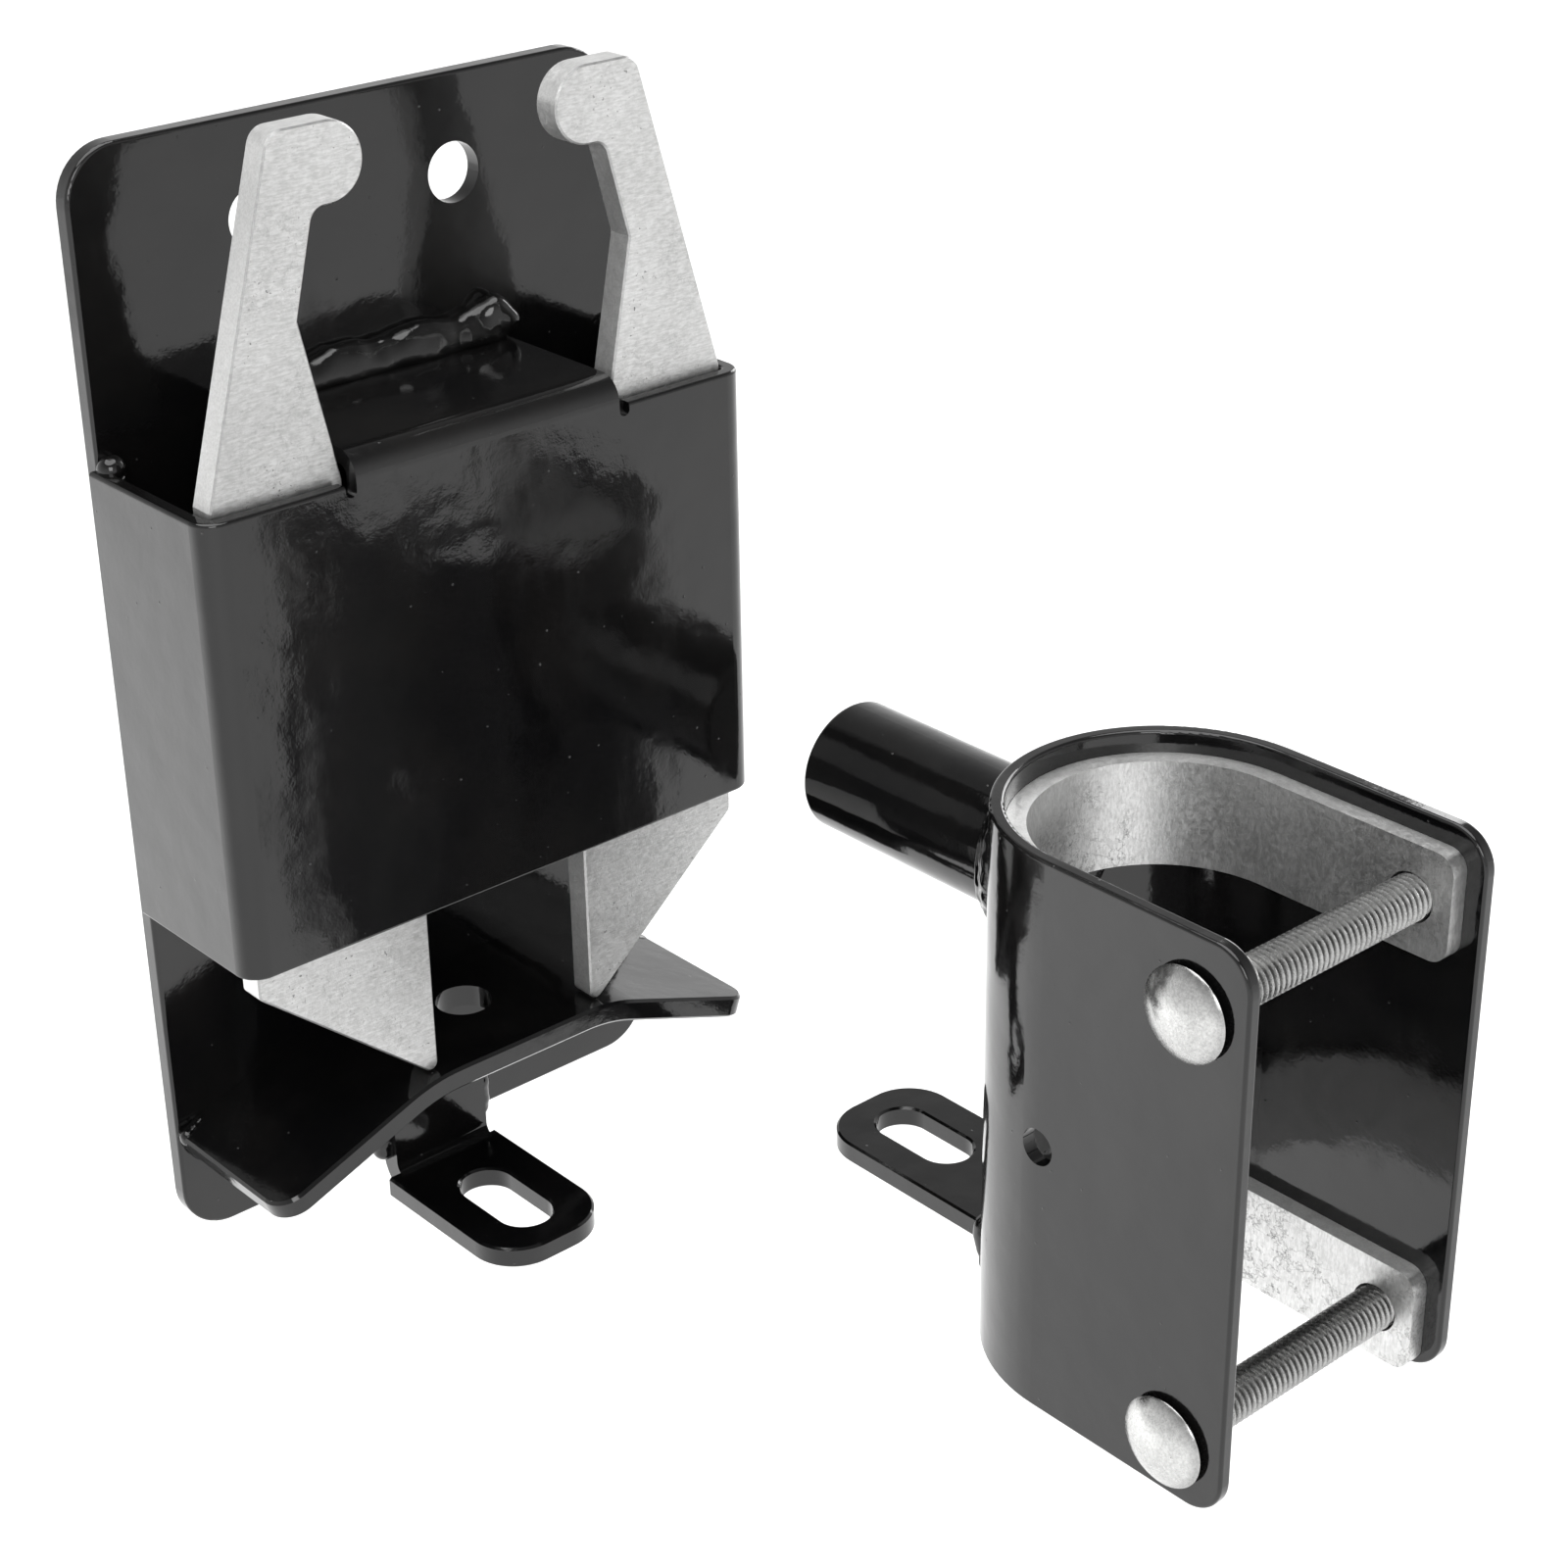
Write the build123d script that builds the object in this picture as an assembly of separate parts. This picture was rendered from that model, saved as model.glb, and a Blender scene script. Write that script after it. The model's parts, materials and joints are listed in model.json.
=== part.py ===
"""Two-way gravity latch for a tube gate.

The post side is a back plate with a bent sheet housing.  Two flat fingers stand in the housing
and drop onto a bent ramp.  The gate side is a U-shaped tube clamp with a striker pin.
While it is built, z = 0 is the lower edge of the back plate and y = 0 is its mounting face.
The finished solids are lowered so that the origin is the middle of the mounting face.
"""
from build123d import *
import math
import os

# ---------------------------------------------------------------- driving dimensions (mm)
PLATE_WIDTH = 101.6
PLATE_HEIGHT = 190.5
PLATE_THICK = 3.0
PLATE_CORNER = 9.0
SCREW_HOLE_R = 5.0
SCREW_HOLE_X = 18.7
SCREW_HOLE_Z = 174.3
COAT_EDGE = 0.6

SHEET = 2.6
HOUSING_WIDTH = 104.6
HOUSING_FRONT = -35.4
HOUSING_BOTTOM = 64.5
HOUSING_TOP = 141.3
HOUSING_BEND = 4.2
FLAP_WIDTH = 50.8
FLAP_TOP = 146.0
FLAP_BEND = 4.2
RELIEF = 2.0

FINGER_THICK = 5.0
FINGER_GAP = 0.5
FINGER_OUTER = 49.1
FINGER_INNER = 16.4
FINGER_STEM = 25.8
FINGER_TOP = 195.7
FINGER_TIP = 31.7
FINGER_LIFT = 24.0
FINGER_LEAN = 0.284
FINGER_HEEL = 27.7
FINGER_EDGE = 0.3
KNOB_INNER = 23.9
KNOB_LOW = 183.3
THROAT_UPPER = 27.0
THROAT_LOWER = (31.2, 167.2)

RAMP_HALF = 51.0
RAMP_FRONT = -35.0
RAMP_TOP = 33.3
RAMP_FLAT = 13.5
RAMP_BEND = 30.0
RAMP_ANGLE = 20.5
RAMP_THICK = 4.0
RAMP_HOLE_R = 5.0
RAMP_HOLE_Y = -17.0

TAB_WIDTH = 24.0
TAB_THICK = 4.0
TAB_CORNER = 9.0
SLOT_WIDTH = 10.0
SLOT_LENGTH = 21.0
LATCH_TAB_TOP = -3.4
LATCH_TAB_END = -42.0
LATCH_LEG_WIDTH = 20.0
LATCH_LEG_TOP = 18.0

TUBE_R = 26.2
CLAMP_SHEET = 2.5
CLAMP_HEIGHT = 101.6
CLAMP_OPEN = -41.0
CLAMP_CORNER = 7.0
CLAMP_PLACE = (64.0, -122.0, -13.0)
SET_HOLE_R = 3.25
SET_HOLE_Z = 50.5

STRAP_THICK = 3.4
STRAP_HEIGHT = 19.05
STRAP_OPEN = -37.5
BOLT_Y = -29.7
BOLT_LEVELS = (10.1, 88.2)
BOLT_R = 3.95
HEAD_R = 8.1
HEAD_HEIGHT = 4.0
NECK = 7.9
NUT_FLATS = 13.0
NUT_HEIGHT = 4.0
NUT_BEVEL = 0.9
WASHER_R = 8.0
WASHER_THICK = 1.6
BOLT_PROUD = 1.5

STRIKER_R = 11.7
STRIKER_END = 74.0
STRIKER_Z = 82.0
CLAMP_TAB_END = 71.0
CLAMP_TAB_TOP = 14.0

FLAP_WELD_LEG = 4.6
WALL_WELD_LEG = 3.2
GUIDE_WELD_LEG = 2.6
GUIDE_WELD_LENGTH = 14.0
GUIDE_WELD_LEVELS = (80.0, 115.0)
RAMP_WELD_LEG = 3.4
TAB_WELD_LEG = 3.0
TAB_WELD_LENGTH = 16.0
STRIKER_FILLET = 4.3
TAB_FILLET = 3.0

# ---------------------------------------------------------------- worked out from those
PLATE_FRONT = -PLATE_THICK
WALL_INNER = HOUSING_WIDTH / 2 - SHEET
PANEL_INNER = HOUSING_FRONT + SHEET
FINGER_FRONT = PANEL_INNER + FINGER_GAP
FINGER_BACK = FINGER_FRONT + FINGER_THICK
FINGER_SHOULDER = FLAP_TOP - SHEET - FINGER_LIFT - 1.5
GUIDE_FRONT = FINGER_BACK + FINGER_GAP
CLAMP_OUTER_R = TUBE_R + CLAMP_SHEET
STRAP_OUTER_R = TUBE_R - 0.05
STRAP_INNER_R = STRAP_OUTER_R - STRAP_THICK


def block(x, y, z):
    """A box given by its low and high coordinate on each axis."""
    size = (x[1] - x[0], y[1] - y[0], z[1] - z[0])
    centre = ((x[0] + x[1]) / 2, (y[0] + y[1]) / 2, (z[0] + z[1]) / 2)
    return Pos(*centre) * Box(*size)


def drill(radius, length, centre, direction):
    """A cylinder of the given length, centred on a point, along a direction."""
    return extrude(Plane(centre, z_dir=direction) * Circle(radius), length / 2, both=True)


def front_outline(points, y, thickness):
    """A flat plate whose outline lies in the XZ plane; it runs from y towards the mounting face."""
    face = make_face(Polyline([(x, 0, z) for x, z in points], close=True))
    return Pos(0, y, 0) * extrude(face, thickness, dir=(0, 1, 0))


def round_upright(part, radius, along, picked):
    """Round the edges that run along an axis and that a test picks."""
    edges = [edge for edge in part.edges().filter_by(along) if picked(edge.center())]
    return fillet(edges, radius)


def mirrored(part):
    """The same piece on the other side of the middle plane."""
    return mirror(part, about=Plane.YZ)


# ---------------------------------------------------------------- post side: plate and housing
def back_plate():
    half = PLATE_WIDTH / 2
    plate = block((-half, half), (PLATE_FRONT, 0), (0, PLATE_HEIGHT))
    plate = round_upright(plate, PLATE_CORNER, Axis.Y, lambda c: True)
    for side in (-1, 1):
        plate -= drill(SCREW_HOLE_R, 20, (side * SCREW_HOLE_X, 0, SCREW_HOLE_Z), (0, 1, 0))
    rim = plate.faces().sort_by(Axis.Y)[0].outer_wire().edges()
    return fillet(rim, COAT_EDGE)


def housing_shell():
    half = HOUSING_WIDTH / 2
    depth = (HOUSING_FRONT, PLATE_FRONT)
    outer = block((-half, half), depth, (HOUSING_BOTTOM, HOUSING_TOP))
    outer = round_upright(outer, HOUSING_BEND, Axis.Z, lambda c: c.Y < HOUSING_FRONT + 1)
    inner = block((-WALL_INNER, WALL_INNER), (PANEL_INNER, 0), (0, PLATE_HEIGHT))
    inner = round_upright(inner, HOUSING_BEND - SHEET, Axis.Z, lambda c: c.Y < PANEL_INNER + 1)
    shell = outer - inner
    wide = FLAP_WIDTH / 2
    flap = block((-wide, wide), depth, (HOUSING_TOP - 1, FLAP_TOP))
    flap = round_upright(flap, FLAP_BEND, Axis.X, lambda c: c.Y < -20 and c.Z > HOUSING_TOP)
    under = block((-wide, wide), (PANEL_INNER, 0), (0, FLAP_TOP - SHEET))
    flap -= round_upright(under, FLAP_BEND - SHEET, Axis.X, lambda c: c.Y < -20 and c.Z > HOUSING_TOP)
    for side in (-1, 1):
        notch_x = side * (wide + RELIEF / 2)
        shell -= drill(RELIEF / 2, 3 * SHEET, (notch_x, HOUSING_FRONT, HOUSING_TOP - RELIEF / 2), (0, 1, 0))
        shell -= block(
            sorted((side * wide, side * (wide + RELIEF))),
            (HOUSING_FRONT - 1, PANEL_INNER + 1),
            (HOUSING_TOP - RELIEF / 2, HOUSING_TOP + 1),
        )
    shell += flap
    levels = (HOUSING_BOTTOM, HOUSING_TOP)
    flat = shell.faces().filter_by(Axis.Z)
    ends = [face for face in flat if min(abs(face.center().Z - level) for level in levels) < 0.1]
    rims = [edge for face in ends for edge in face.edges() if edge.length > 3 * SHEET]
    return fillet(rims, COAT_EDGE)


def finger_guide_plate():
    back = (GUIDE_FRONT, GUIDE_FRONT + SHEET)
    return block((-WALL_INNER, WALL_INNER), back, (HOUSING_BOTTOM + 1.5, HOUSING_TOP - 4))


def centre_spacer():
    half = FINGER_INNER - FINGER_GAP
    top = FINGER_SHOULDER - 1.5
    return block((-half, half), (PANEL_INNER, GUIDE_FRONT), (HOUSING_BOTTOM + 1.5, top))


def finger():
    """The left finger: knob, waist, straight stem, shoulder and slanted lower edge."""
    outer_top = FINGER_OUTER - FINGER_LEAN * (FINGER_TOP - HOUSING_TOP)
    outline = [
        (-FINGER_OUTER, FINGER_TIP + FINGER_HEEL),
        (-FINGER_OUTER, HOUSING_TOP + 0.5),
        (-outer_top, FINGER_TOP),
        (-KNOB_INNER, FINGER_TOP),
        (-KNOB_INNER, KNOB_LOW),
        (-THROAT_UPPER, KNOB_LOW),
        (-THROAT_LOWER[0], THROAT_LOWER[1]),
        (-FINGER_STEM, HOUSING_TOP),
        (-FINGER_STEM, FINGER_SHOULDER),
        (-FINGER_INNER, FINGER_SHOULDER),
        (-FINGER_INNER, FINGER_TIP),
    ]
    body = front_outline(outline, FINGER_FRONT, FINGER_THICK)
    body = round_upright(body, 3.2, Axis.Y, lambda c: c.Z > FINGER_TOP - 1 and c.X < -outer_top + 1)
    body = round_upright(body, 2.6, Axis.Y, lambda c: abs(c.Z - KNOB_LOW) < 1 and c.X < -THROAT_UPPER + 1)
    knob_r = (FINGER_TOP - KNOB_LOW) / 2
    knob_mid = (-KNOB_INNER, FINGER_FRONT + FINGER_THICK / 2, KNOB_LOW + knob_r)
    body += drill(knob_r, FINGER_THICK, knob_mid, (0, 1, 0))
    body = round_upright(body, 1.4, Axis.Y, lambda c: c.Z < FINGER_TIP + FINGER_HEEL + 1)
    rims = body.faces().filter_by(Axis.Y).edges()
    return chamfer(rims, FINGER_EDGE)


def ramp_section(drop):
    """Half of the ramp's upper line, lowered by a distance square to it; it runs from the middle out."""
    turn = math.radians(RAMP_ANGLE)
    top = RAMP_TOP - drop
    radius = RAMP_BEND - drop
    bend_x = RAMP_FLAT + radius * math.sin(turn)
    bend_z = top - radius * (1 - math.cos(turn))
    mid_x = RAMP_FLAT + radius * math.sin(turn / 2)
    mid_z = top - radius * (1 - math.cos(turn / 2))
    end_x = RAMP_HALF - drop * math.sin(turn)
    end_z = bend_z - (end_x - bend_x) * math.tan(turn)
    return (RAMP_FLAT, top), (mid_x, mid_z), (bend_x, bend_z), (end_x, end_z)


def ramp_lines(points, side):
    flat, middle, bend, end = [(side * x, 0, z) for x, z in points]
    return ThreePointArc(flat, middle, bend), Line(bend, end), flat, end


def ramp_plate():
    upper = ramp_section(0)
    lower = ramp_section(RAMP_THICK)
    edges = []
    ends = {}
    for side in (-1, 1):
        for name, points in (("upper", upper), ("lower", lower)):
            arc, wing, flat, end = ramp_lines(points, side)
            edges += [arc, wing]
            ends[name, side] = (flat, end)
        edges.append(Line(ends["upper", side][1], ends["lower", side][1]))
    for name in ("upper", "lower"):
        edges.append(Line(ends[name, -1][0], ends[name, 1][0]))
    face = make_face(edges)
    plate = Pos(0, RAMP_FRONT, 0) * extrude(face, PLATE_FRONT - RAMP_FRONT, dir=(0, 1, 0))
    plate -= drill(RAMP_HOLE_R, 60, (0, RAMP_HOLE_Y, RAMP_TOP), (0, 0, 1))
    corners = [
        edge
        for edge in plate.edges().filter_by(GeomType.LINE)
        if abs(edge.center().X) > RAMP_HALF - 4
        and edge.center().Y < RAMP_FRONT + 1
        and abs(edge.length - RAMP_THICK) < 0.1
    ]
    plate = fillet(corners, 5)
    rim = [edge for edge in plate.faces().sort_by(Axis.Y)[0].edges() if edge.length > 10]
    return chamfer(rim, 0.5)


def slotted_tab(root, end, top):
    """A flat tab with a rounded free end and a lock slot; it runs along Y from root to end."""
    half = TAB_WIDTH / 2
    way = math.copysign(1, end - root)
    tab = block((-half, half), sorted((root, end)), (top - TAB_THICK, top))
    tab = round_upright(tab, TAB_CORNER, Axis.Z, lambda c: abs(c.Y - end) < 1)
    slot_mid = end - way * (SLOT_LENGTH / 2 + 5.5)
    slot = Pos(0, slot_mid, top) * Rot(0, 0, 90) * SlotOverall(SLOT_LENGTH, SLOT_WIDTH)
    tab -= extrude(slot, 10, both=True)
    rims = [edge for edge in tab.faces().filter_by(Axis.Z).edges() if abs(edge.center().Y - root) > 1]
    return chamfer(rims, 0.4)


def latch_lock_tab():
    """A strap bent to an L: the lower leg is the lock tab, the short upright leg is welded on."""
    leg_front = PLATE_FRONT - TAB_THICK
    tab = slotted_tab(leg_front, LATCH_TAB_END, LATCH_TAB_TOP)
    half = LATCH_LEG_WIDTH / 2
    low = LATCH_TAB_TOP - TAB_THICK
    leg = block((-half, half), (leg_front - 3, PLATE_FRONT), (low, LATCH_LEG_TOP))
    leg = round_upright(leg, 6.5, Axis.X, lambda c: c.Z < low + 1 and c.Y > PLATE_FRONT - 1)
    void = block((-half, half), (LATCH_TAB_END, leg_front), (LATCH_TAB_TOP, PLATE_HEIGHT))
    void = round_upright(void, 2.5, Axis.X, lambda c: c.Z < 0 and c.Y > leg_front - 1)
    return tab + (leg - void)


# ---------------------------------------------------------------- post side: weld beads
def bead(leg, start, length, direction, turn):
    """A weld bead: a quarter disc of the given leg, run along a direction; turn is its first leg."""
    section = make_face([
        Line((0, 0), (leg, 0)),
        ThreePointArc((leg, 0), (0.66 * leg, 0.66 * leg), (0, leg)),
        Line((0, leg), (0, 0)),
    ])
    plane = Plane(start, x_dir=turn, z_dir=direction)
    return extrude(plane * section, length)


def flap_weld():
    wide = FLAP_WIDTH / 2
    return bead(FLAP_WELD_LEG, (-wide, PLATE_FRONT, FLAP_TOP), FLAP_WIDTH, (1, 0, 0), (0, 0, 1))


def left_housing_weld():
    corner = (-WALL_INNER, PLATE_FRONT, HOUSING_BOTTOM + 1)
    length = HOUSING_TOP - HOUSING_BOTTOM - 1
    return bead(WALL_WELD_LEG, corner, length, (0, 0, 1), (0, -1, 0))


def both_sides(seam):
    """A bead and its mirror image."""
    return [seam, mirrored(seam)]


def guide_welds():
    """Short beads behind the guide plate that hold it to the housing walls, two on each side."""
    runs = []
    for low in GUIDE_WELD_LEVELS:
        corner = (WALL_INNER, GUIDE_FRONT + SHEET, low)
        runs += both_sides(bead(GUIDE_WELD_LEG, corner, GUIDE_WELD_LENGTH, (0, 0, 1), (0, 1, 0)))
    return Compound(runs)


def ramp_welds():
    """A bead under each wing of the ramp, where it meets the plate."""
    _, _, bend, end = ramp_section(RAMP_THICK)
    length = math.dist(bend, end) - 2
    along = (end[0] - bend[0], 0, end[1] - bend[1])
    seam = bead(RAMP_WELD_LEG, (bend[0], PLATE_FRONT, bend[1]), length, along, (0, -1, 0))
    return Compound(both_sides(seam))


def lock_tab_welds():
    """A bead along each side of the lock tab's upright leg."""
    corner = (LATCH_LEG_WIDTH / 2, PLATE_FRONT, 1.0)
    seam = bead(TAB_WELD_LEG, corner, TAB_WELD_LENGTH, (0, 0, 1), (0, -1, 0))
    return Compound(both_sides(seam))


# ---------------------------------------------------------------- gate side
def u_section(outer, inner, open_y):
    """A U in plan: half a ring and two straight legs down to open_y."""
    outside = Circle(outer) + Pos(0, open_y / 2) * Rectangle(2 * outer, -open_y)
    inside = Circle(inner) + Pos(0, open_y / 2 - 1) * Rectangle(2 * inner, -open_y + 2)
    below = Pos(0, open_y - outer) * Rectangle(4 * outer, 2 * outer)
    return outside - inside - below


def is_clamp_rim(edge):
    """True for the sheet's outline: not for an edge across the sheet, nor where bend meets leg."""
    middle = edge.center()
    crosses_sheet = abs(edge.length - CLAMP_SHEET) < 0.1
    upright = edge.geom_type == GeomType.LINE and abs(middle.Z - CLAMP_HEIGHT / 2) < 1
    return not crosses_sheet and (middle.Y < CLAMP_OPEN + 1 or not upright)


def clamp_shell():
    shell = extrude(u_section(CLAMP_OUTER_R, TUBE_R, CLAMP_OPEN), CLAMP_HEIGHT)
    shell = round_upright(shell, CLAMP_CORNER, Axis.X, lambda c: c.Y < CLAMP_OPEN + 1)
    shell = fillet([edge for edge in shell.edges() if is_clamp_rim(edge)], COAT_EDGE)
    for level in BOLT_LEVELS:
        left = (-CLAMP_OUTER_R, BOLT_Y, level)
        shell -= Pos(*left) * Box(4 * CLAMP_SHEET, NECK + 0.3, NECK + 0.3)
        shell -= drill(BOLT_R + 0.3, 4 * CLAMP_SHEET, (CLAMP_OUTER_R, BOLT_Y, level), (1, 0, 0))
    shell -= drill(SET_HOLE_R, 4 * CLAMP_SHEET, (-CLAMP_OUTER_R, 0, SET_HOLE_Z), (1, 0, 0))
    return shell


def strap(level):
    """A liner strap that bends round the inside of the clamp, centred on a bolt."""
    low = level - STRAP_HEIGHT / 2
    ring = Pos(0, 0, low) * extrude(u_section(STRAP_OUTER_R, STRAP_INNER_R, STRAP_OPEN), STRAP_HEIGHT)
    ring = round_upright(ring, 3.5, Axis.X, lambda c: c.Y < STRAP_OPEN + 1)
    return ring - drill(BOLT_R + 0.4, 80, (0, BOLT_Y, level), (1, 0, 0))


def carriage_bolt(level):
    """Domed head outside the left flange, square neck in it, and a shank through to the nut."""
    seat = -CLAMP_OUTER_R
    sphere_r = (HEAD_R ** 2 + HEAD_HEIGHT ** 2) / (2 * HEAD_HEIGHT)
    dome = Pos(seat - HEAD_HEIGHT + sphere_r, BOLT_Y, level) * Sphere(sphere_r)
    dome &= block((seat - 10, seat), (BOLT_Y - 20, BOLT_Y + 20), (level - 20, level + 20))
    neck = Pos(seat + CLAMP_SHEET / 2, BOLT_Y, level) * Box(CLAMP_SHEET, NECK, NECK)
    tip = CLAMP_OUTER_R + WASHER_THICK + NUT_HEIGHT + BOLT_PROUD
    shank = drill(BOLT_R, tip - seat, ((tip + seat) / 2, BOLT_Y, level), (1, 0, 0))
    shank = chamfer(shank.edges().sort_by(Axis.X)[-1:], 0.8)
    return dome + neck + shank


def nut(level):
    seat = CLAMP_OUTER_R + WASHER_THICK
    corner_r = NUT_FLATS / math.sqrt(3)
    plane = Plane((seat, BOLT_Y, level), x_dir=(0, 0, 1), z_dir=(1, 0, 0))
    hexagon = extrude(plane * RegularPolygon(corner_r, 6), NUT_HEIGHT)
    upwards = (Align.CENTER, Align.CENTER, Align.MAX)
    cone = Cone(corner_r + NUT_HEIGHT, corner_r - NUT_BEVEL, NUT_HEIGHT + NUT_BEVEL, align=upwards)
    hexagon &= Pos(seat + NUT_HEIGHT, BOLT_Y, level) * Rot(0, 90, 0) * cone
    return hexagon - drill(BOLT_R + 0.03, 60, (seat, BOLT_Y, level), (1, 0, 0))


def washer(level):
    centre = (CLAMP_OUTER_R + WASHER_THICK / 2, BOLT_Y, level)
    return drill(WASHER_R, WASHER_THICK, centre, (1, 0, 0)) - drill(BOLT_R + 0.3, 10, centre, (1, 0, 0))


def outside_of_bend(part):
    """What is left of a piece outside the clamp's outer surface."""
    return part - extrude(Circle(CLAMP_OUTER_R), 2 * CLAMP_HEIGHT, both=True)


def striker_pin():
    start = CLAMP_OUTER_R - 10
    length = STRIKER_END - start
    bar = drill(STRIKER_R, length, (0, start + length / 2, STRIKER_Z), (0, 1, 0))
    bar = fillet(bar.edges().filter_by(GeomType.CIRCLE).sort_by(Axis.Y)[-1:], 1.0)
    return outside_of_bend(bar)


def striker_weld():
    """A smooth fillet all round the root of the striker pin."""
    reach = CLAMP_OUTER_R + 3.5
    plane = Plane((0, reach, STRIKER_Z), z_dir=(0, -1, 0))
    wide = plane.offset(10) * Circle(STRIKER_R + 0.2 + STRIKER_FILLET)
    collar = loft([plane * Circle(STRIKER_R + 0.2), wide])
    return outside_of_bend(collar) - drill(STRIKER_R, 200, (0, 0, STRIKER_Z), (0, 1, 0))


def clamp_lock_tab():
    return outside_of_bend(slotted_tab(CLAMP_OUTER_R - 10, CLAMP_TAB_END, CLAMP_TAB_TOP))


def clamp_tab_weld():
    """A fillet above and below the root of the gate-side lock tab."""
    mid = CLAMP_TAB_TOP - TAB_THICK / 2
    half = TAB_WIDTH / 2
    near = CLAMP_OUTER_R - 4 * TAB_FILLET
    far = CLAMP_OUTER_R + TAB_FILLET
    wide = half + TAB_FILLET
    high = TAB_THICK / 2 + TAB_FILLET
    body = block((-wide, wide), (near, far), (mid - high, mid + high))
    body = chamfer(body.faces().sort_by(Axis.Y)[-1].edges(), 2.6)
    body = outside_of_bend(body)
    return body - block((-half, half), (0, 100), (mid - TAB_THICK / 2, mid + TAB_THICK / 2))


# ---------------------------------------------------------------- the nodes
post_side = {
    "back_plate": back_plate(),
    "housing_shell": housing_shell(),
    "finger_guide_plate": finger_guide_plate(),
    "centre_spacer": centre_spacer(),
    "ramp_plate": ramp_plate(),
    "latch_lock_tab": latch_lock_tab(),
    "left_finger": finger(),
    "right_finger": mirrored(finger()),
    "flap_weld": flap_weld(),
    "left_housing_weld": left_housing_weld(),
    "right_housing_weld": mirrored(left_housing_weld()),
    "guide_welds": guide_welds(),
    "ramp_welds": ramp_welds(),
    "lock_tab_welds": lock_tab_welds(),
}
gate_side = {
    "clamp_shell": clamp_shell(),
    "striker_pin": striker_pin(),
    "striker_weld": striker_weld(),
    "clamp_lock_tab": clamp_lock_tab(),
    "clamp_tab_weld": clamp_tab_weld(),
}
for name, level in zip(("lower", "upper"), BOLT_LEVELS):
    gate_side[f"{name}_strap"] = strap(level)
    gate_side[f"{name}_carriage_bolt"] = carriage_bolt(level)
    gate_side[f"{name}_nut"] = nut(level)
    gate_side[f"{name}_washer"] = washer(level)

os.makedirs("parts", exist_ok=True)
lower = Location((0, 0, -PLATE_HEIGHT / 2))
for name, part in post_side.items():
    export_step(part.moved(lower), f"parts/{name}.step")
for name, part in gate_side.items():
    export_step(part.moved(lower * Location(CLAMP_PLACE)), f"parts/{name}.step")
print(len(post_side) + len(gate_side), "nodes")
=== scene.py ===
# %% [markdown]
# # A two-way gravity gate latch
# The latch has two halves.  A black steel plate and housing sit on the post, with two zinc-plated
# fingers that drop by their own weight.  A U-shaped clamp with a striker pin sits on the gate tube.
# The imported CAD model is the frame: every size below is read from it, and Blender adds the finish.

# %% Load the frame
import json
import math
import bpy
from mathutils import Matrix, Vector


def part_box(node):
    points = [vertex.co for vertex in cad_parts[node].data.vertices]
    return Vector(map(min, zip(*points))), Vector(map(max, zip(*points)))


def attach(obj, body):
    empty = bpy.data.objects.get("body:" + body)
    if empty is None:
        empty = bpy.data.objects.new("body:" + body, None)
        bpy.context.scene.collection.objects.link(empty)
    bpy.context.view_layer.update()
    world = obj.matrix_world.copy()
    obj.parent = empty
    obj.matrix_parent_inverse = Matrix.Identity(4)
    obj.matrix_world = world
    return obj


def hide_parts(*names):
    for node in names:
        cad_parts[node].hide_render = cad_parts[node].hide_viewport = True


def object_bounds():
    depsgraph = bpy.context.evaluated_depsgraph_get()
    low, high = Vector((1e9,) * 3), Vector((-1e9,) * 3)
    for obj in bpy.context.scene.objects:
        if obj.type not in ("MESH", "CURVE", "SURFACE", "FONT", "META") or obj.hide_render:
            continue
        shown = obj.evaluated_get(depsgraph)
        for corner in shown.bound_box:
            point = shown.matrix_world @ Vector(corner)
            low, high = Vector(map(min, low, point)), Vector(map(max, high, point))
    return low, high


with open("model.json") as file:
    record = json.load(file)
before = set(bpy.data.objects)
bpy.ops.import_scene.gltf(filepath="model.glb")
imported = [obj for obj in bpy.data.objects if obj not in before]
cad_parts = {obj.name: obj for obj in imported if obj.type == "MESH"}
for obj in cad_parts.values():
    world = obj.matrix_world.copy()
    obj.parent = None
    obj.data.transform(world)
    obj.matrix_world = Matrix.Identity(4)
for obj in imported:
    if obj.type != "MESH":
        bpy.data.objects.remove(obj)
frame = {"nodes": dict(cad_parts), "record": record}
cad_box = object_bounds()

# %% [markdown]
# The camera comes first, because every later choice is judged through it.  A long lens keeps the
# plate's edges nearly parallel, as a product shot does.  The aim is given as a target point, two
# angles, a distance and a small roll, which is easier to adjust than a raw matrix.

# %% Camera
TARGET = Vector((0.0314, -0.0671, -0.0122))
AZIMUTH, ELEVATION, ROLL = (math.radians(a) for a in (-41.21, 26.47, -0.87))
DISTANCE = 0.500
back = Vector((
    math.sin(AZIMUTH) * math.cos(ELEVATION),
    -math.cos(AZIMUTH) * math.cos(ELEVATION),
    math.sin(ELEVATION),
))
lens = bpy.data.cameras.new("camera")
lens.lens = 70.5
lens.sensor_width = 36.0
lens.clip_start, lens.clip_end = 0.01, 20.0
camera = bpy.data.objects.new("camera", lens)
bpy.context.scene.collection.objects.link(camera)
turn = (-back).to_track_quat("-Z", "Y").to_matrix() @ Matrix.Rotation(ROLL, 3, "Z")
camera.matrix_world = Matrix.LocRotScale(TARGET + back * DISTANCE, turn, None)
bpy.context.scene.camera = camera
print("camera at", [round(v, 3) for v in camera.location])

# %% [markdown]
# The studio is a white floor well below the hanging latch, lit evenly from above, so that the
# background is a clean white.  Gloss black shows little but what it mirrors.  Upright faces seen
# from above mirror the floor, so a brighter pool on the floor behind and to the left is what
# turns the left-hand faces grey, while the faces that mirror the front of the floor stay dark.

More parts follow.
